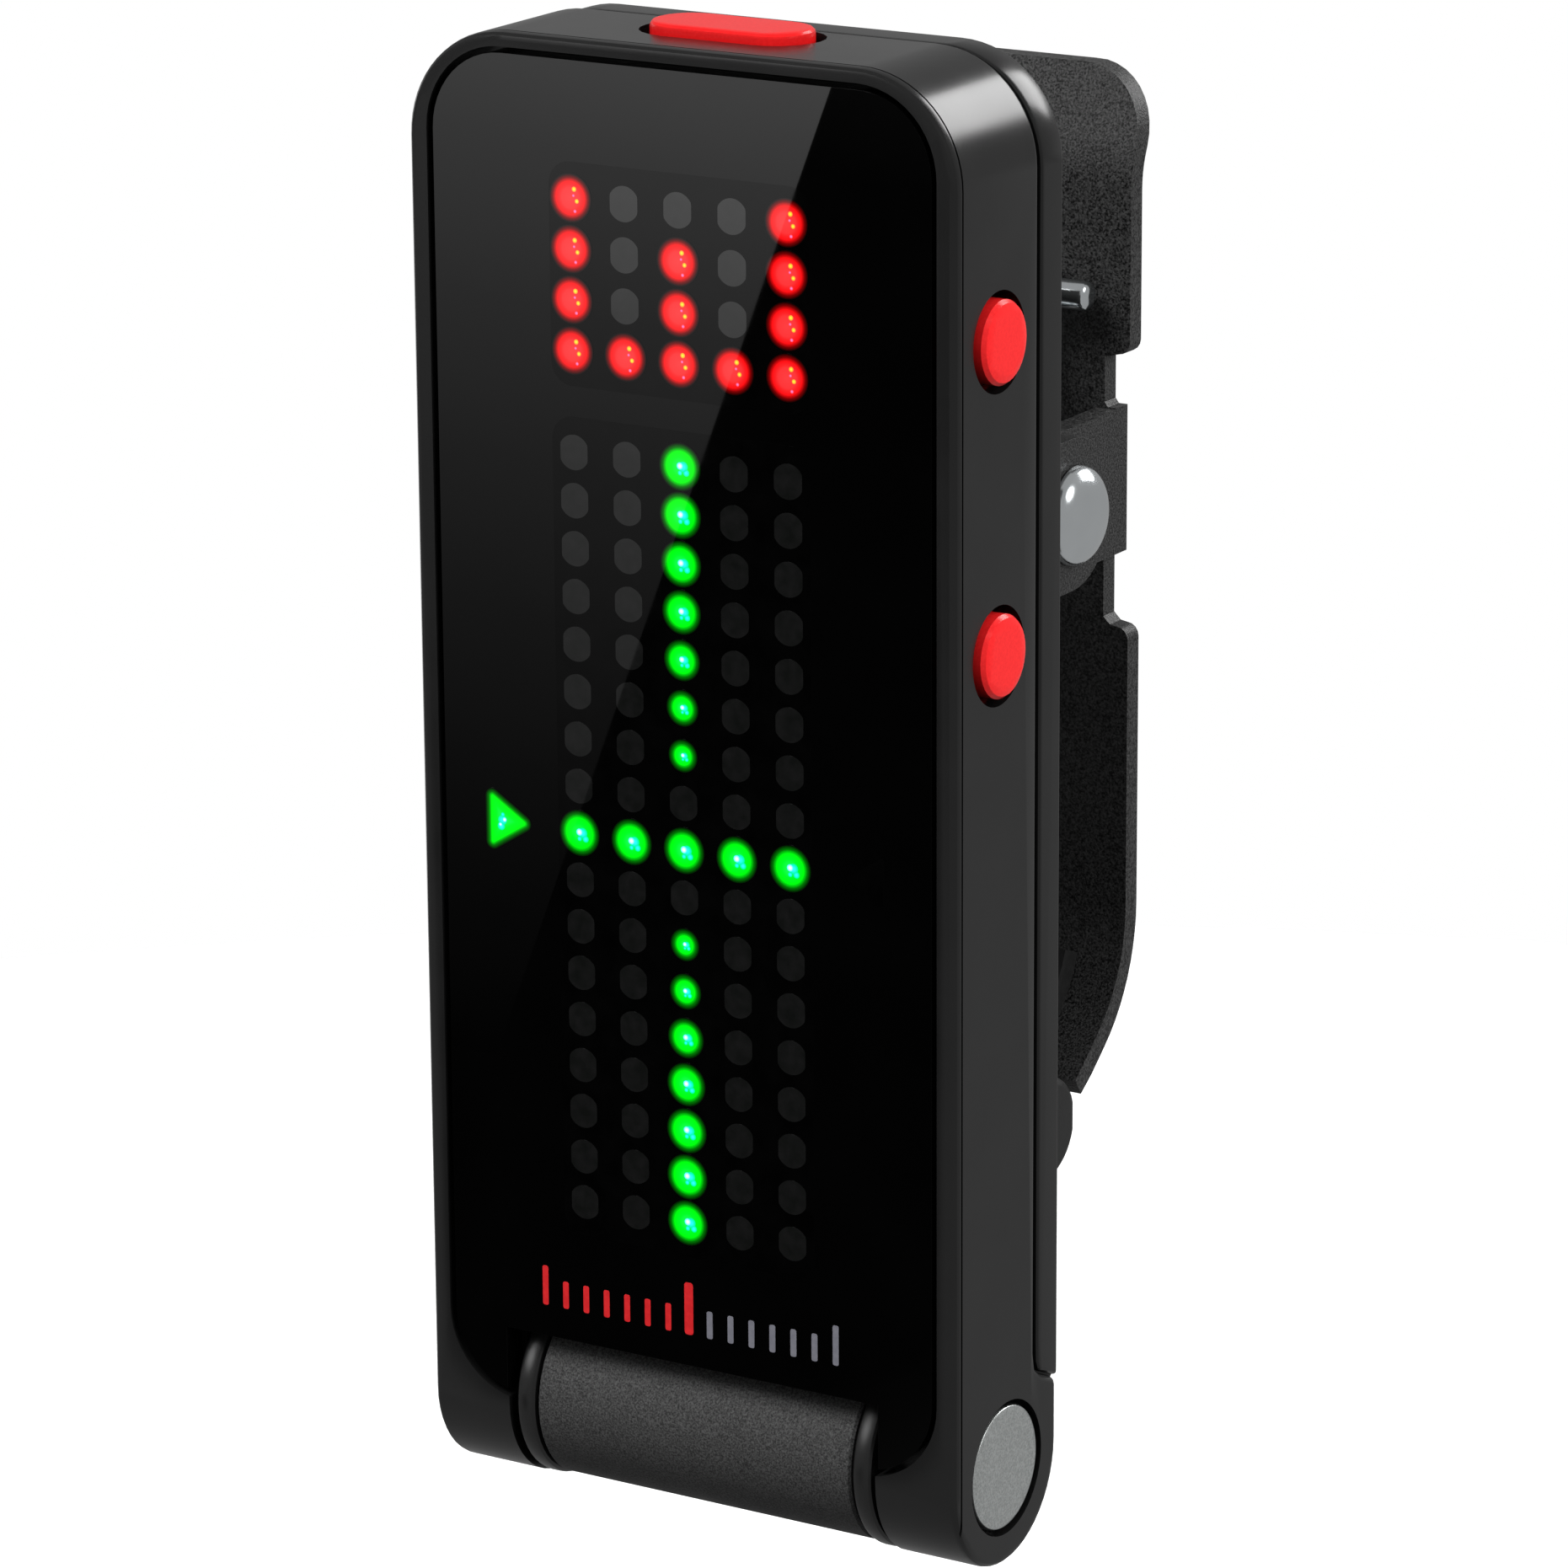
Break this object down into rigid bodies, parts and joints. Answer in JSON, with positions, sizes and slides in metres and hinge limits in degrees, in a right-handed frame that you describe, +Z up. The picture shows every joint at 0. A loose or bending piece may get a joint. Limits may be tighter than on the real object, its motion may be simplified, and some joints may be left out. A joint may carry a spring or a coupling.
{
  "type": "clip on tuner",
  "caption": "Clip-on instrument tuner: a flat display head with a lit dot matrix, hinged at its foot to a sprung steel clamp with rubber jaws.",
  "frame": {"origin": "middle of the bounding box in X and Y, at the lowest point of the hinge in Z", "axes": "+Z up along the display head, -Y out of the display's front face, +X to the side that carries the two round buttons"},
  "size_m": [0.0238, 0.0242, 0.058],
  "materials": {
    "housing_gloss": "semi-gloss moulded black",
    "window": "polished smoked black",
    "dot_matrix": "lamp module",
    "board": "solder resist",
    "chip": "moulded resin",
    "bright_steel": "bright plated",
    "dark_steel": "black oxide",
    "sensor_brass": "satin",
    "red_keys": "satin red",
    "grained_casting": "fine grained black",
    "satin_plastic": "satin black",
    "blasted_aluminium": "fine blasted",
    "coated_sheet": "fine textured black coating",
    "rubber": "smooth matt"
  },
  "bodies": {
    "clamp_base": {"hinge_barrel": "grained_casting", "barrel_ring_left": "satin_plastic", "barrel_ring_right": "satin_plastic", "friction_sleeve": "bright_steel", "front_arm": "coated_sheet", "arm_screw_left": "dark_steel", "arm_screw_right": "dark_steel", "clamp_pin": "bright_steel", "spring_sleeve": "satin_plastic", "torsion_spring": "bright_steel", "front_jaw_pad": "rubber"},
    "head": {"front_frame": "housing_gloss", "back_shell": "housing_gloss", "window": "window", "lower_dot_matrix": "dot_matrix", "upper_dot_matrix": "dot_matrix", "arrow_lamp_left": "dot_matrix", "arrow_lamp_right": "dot_matrix", "circuit_board": "board", "processor": "chip", "audio_converter": "chip", "timing_crystal": "bright_steel", "vibration_sensor": "sensor_brass", "upper_side_switch": "bright_steel", "lower_side_switch": "bright_steel", "top_switch": "bright_steel", "negative_contact": "bright_steel", "positive_contact": "bright_steel", "coin_cell": "bright_steel", "shell_screw_left": "dark_steel", "shell_screw_right": "dark_steel", "hinge_cap_left": "blasted_aluminium", "hinge_cap_right": "blasted_aluminium", "hinge_pin": "bright_steel"},
    "rear_jaw": {"rear_arm": "coated_sheet", "rear_jaw_pad": "rubber"},
    "battery_cover": {"battery_cover": "housing_gloss"},
    "power_button": {"power_button": "red_keys"},
    "upper_button": {"upper_button": "red_keys"},
    "lower_button": {"lower_button": "red_keys"}
  },
  "joints": [
    {"name": "head_tilt", "type": "hinge", "parent": "clamp_base", "child": "head", "pos_m": [0, -0.0083, 0.00385], "axis": [1, 0, 0], "range_deg": [0, 180]},
    {"name": "jaw_open", "type": "hinge", "parent": "clamp_base", "child": "rear_jaw", "pos_m": [0, 0.00415, 0.03775], "axis": [1, 0, 0], "range_deg": [0, 42], "stiffness_Nm_per_rad": 0.06, "springref_deg": -68.75, "deforming": ["torsion_spring"]},
    {"name": "battery_cover_turn", "type": "hinge", "parent": "head", "child": "battery_cover", "pos_m": [0, -0.00455, 0.0215], "axis": [0, 1, 0], "range_deg": [0, 30]},
    {"name": "power_button_press", "type": "slide", "parent": "head", "child": "power_button", "axis": [0, 0, -1], "range_m": [0, 0.0003], "stiffness_N_per_m": 500},
    {"name": "upper_button_press", "type": "slide", "parent": "head", "child": "upper_button", "axis": [-1, 0, 0], "range_m": [0, 0.0003], "stiffness_N_per_m": 500},
    {"name": "lower_button_press", "type": "slide", "parent": "head", "child": "lower_button", "axis": [-1, 0, 0], "range_m": [0, 0.0003], "stiffness_N_per_m": 500}
  ]
}
